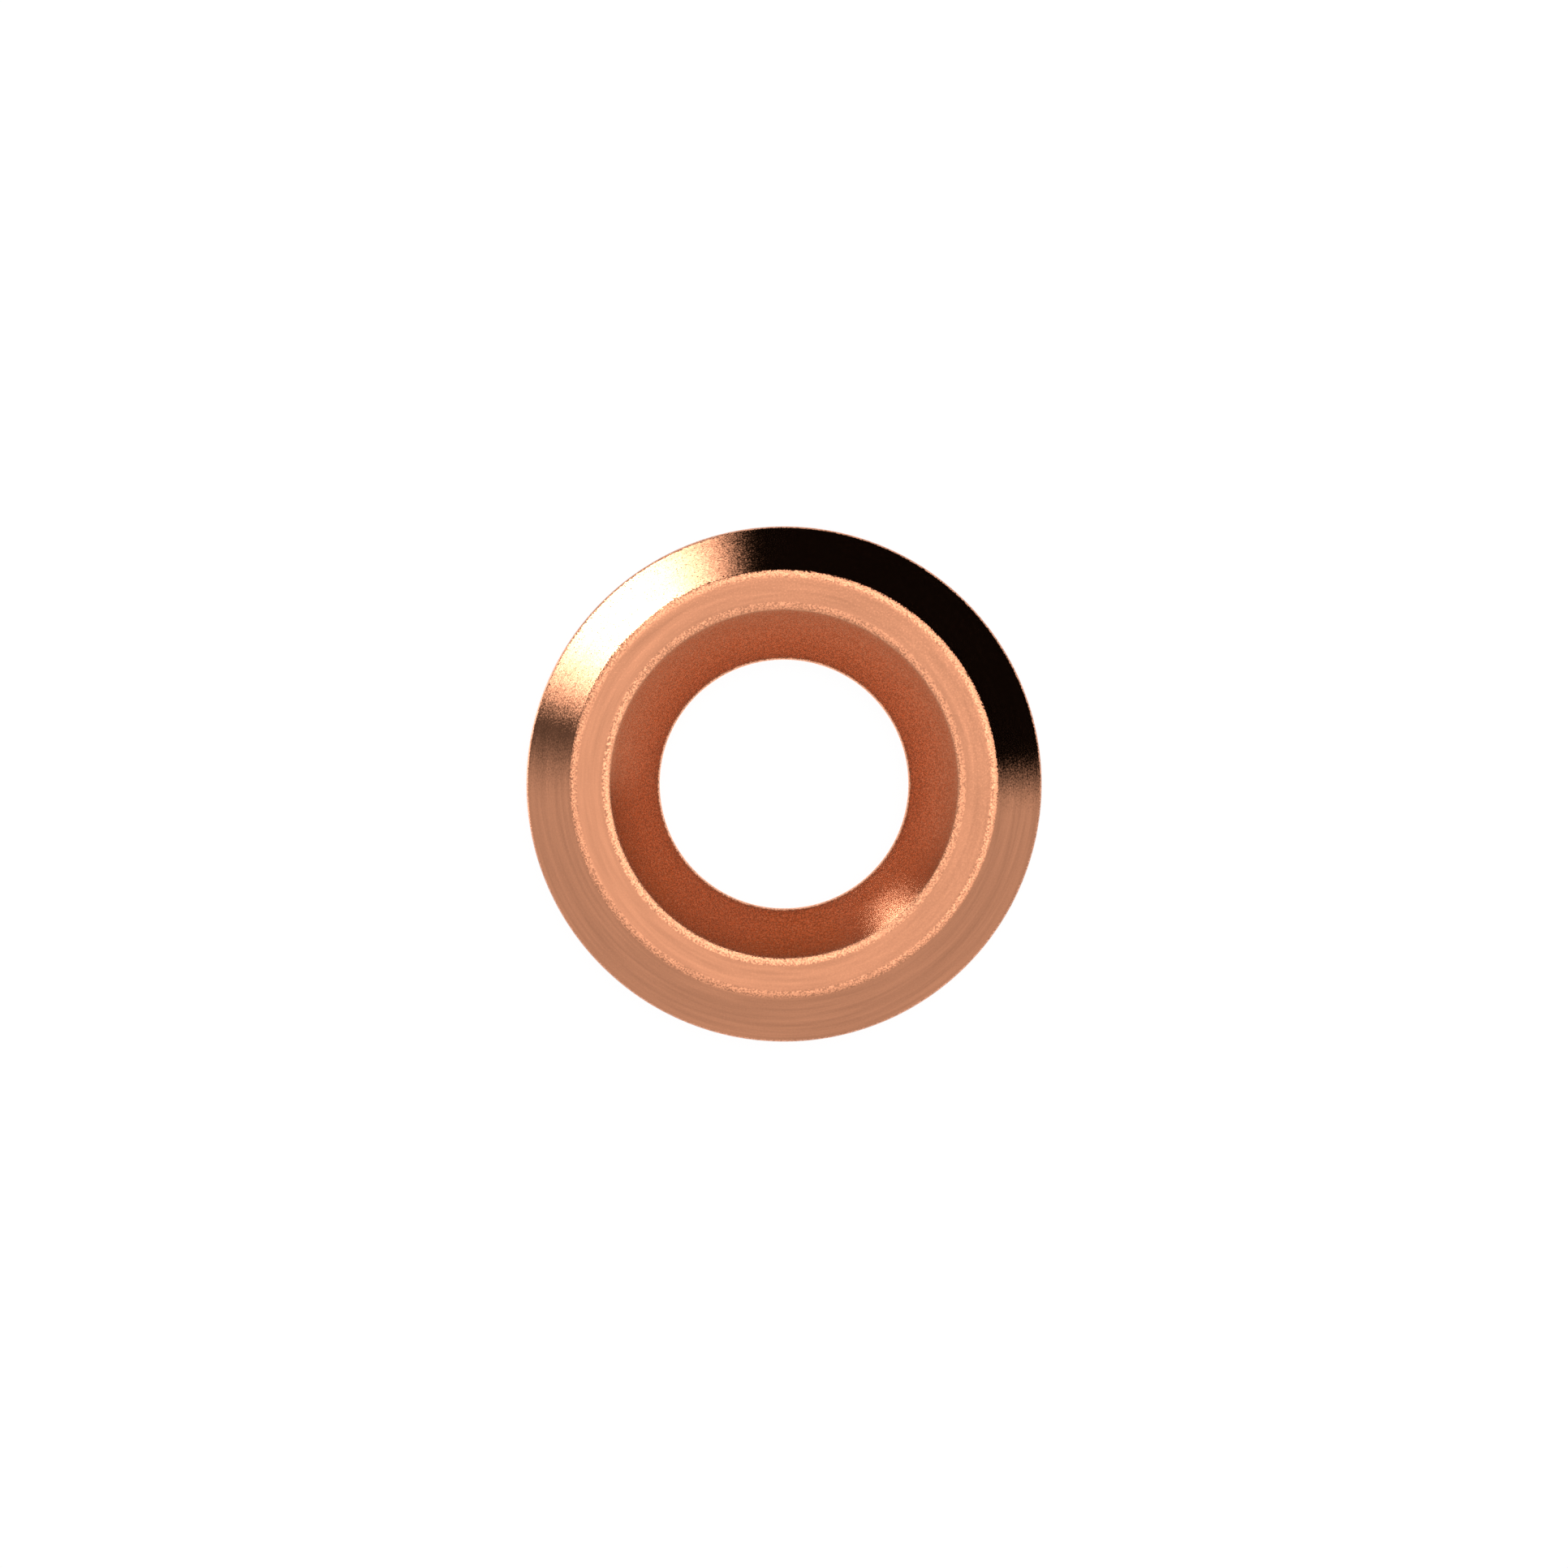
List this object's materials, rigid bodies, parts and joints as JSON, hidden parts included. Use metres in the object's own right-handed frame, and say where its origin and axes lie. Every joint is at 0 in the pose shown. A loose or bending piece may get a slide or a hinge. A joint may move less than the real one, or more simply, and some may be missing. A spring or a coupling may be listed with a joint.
{
  "type": "copper sealing washer",
  "caption": "Flat metal sealing washer with a narrow raised land between a conical outer flank and the conical mouth of its plain bore.",
  "frame": {"origin": "centre of the bore on the flat underside", "axes": "+Z along the bore axis, from the flat underside to the raised land"},
  "size_m": [0.017, 0.017, 0.0024],
  "materials": {
    "copper": "turned copper-coloured metal, satin, with fine concentric marks on the land and bright rounded edges"
  },
  "bodies": {
    "root": {"washer": "copper"}
  },
  "joints": []
}
